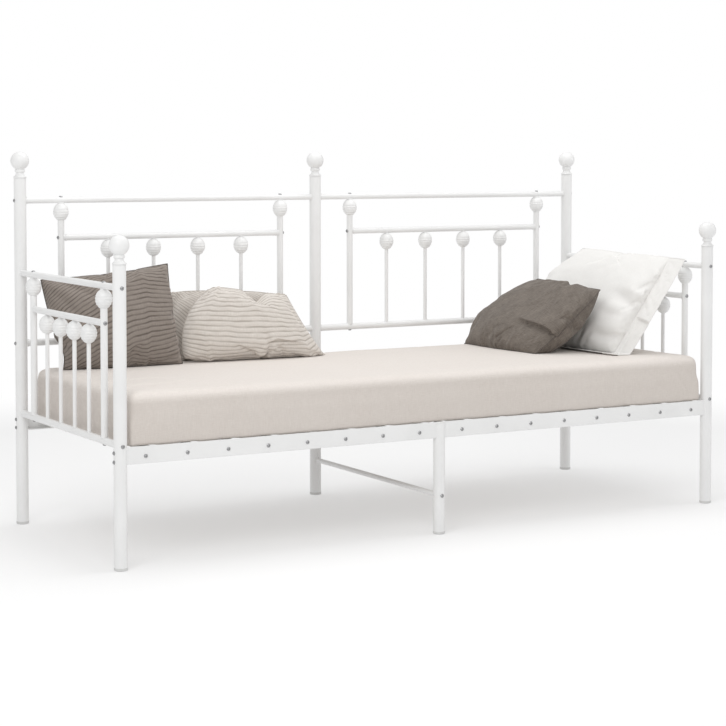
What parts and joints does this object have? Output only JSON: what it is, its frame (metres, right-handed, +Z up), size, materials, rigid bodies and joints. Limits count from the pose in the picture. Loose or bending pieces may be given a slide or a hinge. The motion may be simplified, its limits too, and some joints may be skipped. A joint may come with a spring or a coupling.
{
  "type": "daybed",
  "caption": "White tubular metal daybed with ball finials, spindle back and end panels, slatted base, mattress and loose pillows.",
  "frame": {"origin": "on the floor, under the middle of the bed", "axes": "+X along the bed, +Y towards its back panels, +Z up"},
  "size_m": [2.096, 0.826, 1.1373],
  "materials": {
    "white_powder_coat": "satin",
    "slat_coat": "satin",
    "bolt_steel": "satin",
    "foot_plastic": "matte",
    "mattress_linen": "matte",
    "sand_rib": "matte",
    "taupe_rib": "matte",
    "white_cotton": "matte",
    "grey_linen": "matte"
  },
  "bodies": {
    "frame": {"back_post_left": "white_powder_coat", "back_post_centre": "white_powder_coat", "back_post_right": "white_powder_coat", "front_post_left": "white_powder_coat", "front_post_right": "white_powder_coat", "front_centre_leg": "white_powder_coat", "centre_leg_cap": "white_powder_coat", "crossbar": "white_powder_coat", "finial_back_left": "white_powder_coat", "finial_back_centre": "white_powder_coat", "finial_back_right": "white_powder_coat", "finial_front_left": "white_powder_coat", "finial_front_right": "white_powder_coat", "side_rail_front_left": "white_powder_coat", "side_rail_front_right": "white_powder_coat", "side_rail_back_left": "white_powder_coat", "side_rail_back_right": "white_powder_coat", "back_left_top_rail": "white_powder_coat", "back_left_bottom_rail": "white_powder_coat", "back_left_stile_1": "white_powder_coat", "back_left_stile_2": "white_powder_coat", "back_left_grille": "white_powder_coat", "back_right_top_rail": "white_powder_coat", "back_right_bottom_rail": "white_powder_coat", "back_right_stile_1": "white_powder_coat", "back_right_stile_2": "white_powder_coat", "back_right_grille": "white_powder_coat", "left_end_arm_rail": "white_powder_coat", "left_end_bottom_rail": "white_powder_coat", "left_end_stile_1": "white_powder_coat", "left_end_stile_2": "white_powder_coat", "left_end_grille": "white_powder_coat", "right_end_arm_rail": "white_powder_coat", "right_end_bottom_rail": "white_powder_coat", "right_end_stile_1": "white_powder_coat", "right_end_stile_2": "white_powder_coat", "right_end_grille": "white_powder_coat", "slat_01": "slat_coat", "slat_02": "slat_coat", "slat_03": "slat_coat", "slat_04": "slat_coat", "slat_05": "slat_coat", "slat_06": "slat_coat", "slat_07": "slat_coat", "slat_08": "slat_coat", "slat_09": "slat_coat", "slat_10": "slat_coat", "slat_11": "slat_coat", "slat_12": "slat_coat", "slat_13": "slat_coat", "slat_14": "slat_coat", "slat_15": "slat_coat", "slat_16": "slat_coat"},
    "mattress_body": {"mattress": "mattress_linen"},
    "pillow_light_ribbed_back_body": {"pillow_light_ribbed_back": "sand_rib"},
    "pillow_light_ribbed_front_body": {"pillow_light_ribbed_front": "sand_rib"},
    "pillow_dark_ribbed_body": {"pillow_dark_ribbed": "taupe_rib"},
    "pillow_white_flanged_body": {"pillow_white_flanged": "white_cotton"},
    "pillow_dark_plain_body": {"pillow_dark_plain": "grey_linen"}
  },
  "joints": [
    {"name": "mattress_lift", "type": "slide", "parent": "frame", "child": "mattress_body", "axis": [0, 0, 1], "range_m": [0, 0.85]},
    {"name": "pillow_light_ribbed_back_lift", "type": "slide", "parent": "mattress_body", "child": "pillow_light_ribbed_back_body", "axis": [0, 0, 1], "range_m": [0, 0.7]},
    {"name": "pillow_light_ribbed_front_lift", "type": "slide", "parent": "pillow_light_ribbed_back_body", "child": "pillow_light_ribbed_front_body", "axis": [0, 0, 1], "range_m": [0, 0.7]},
    {"name": "pillow_dark_ribbed_lift", "type": "slide", "parent": "pillow_light_ribbed_back_body", "child": "pillow_dark_ribbed_body", "axis": [0, 0, 1], "range_m": [0, 0.7]},
    {"name": "pillow_white_flanged_lift", "type": "slide", "parent": "mattress_body", "child": "pillow_white_flanged_body", "axis": [0, 0, 1], "range_m": [0, 0.7]},
    {"name": "pillow_dark_plain_lift", "type": "slide", "parent": "pillow_white_flanged_body", "child": "pillow_dark_plain_body", "axis": [0, 0, 1], "range_m": [0, 0.7]}
  ]
}
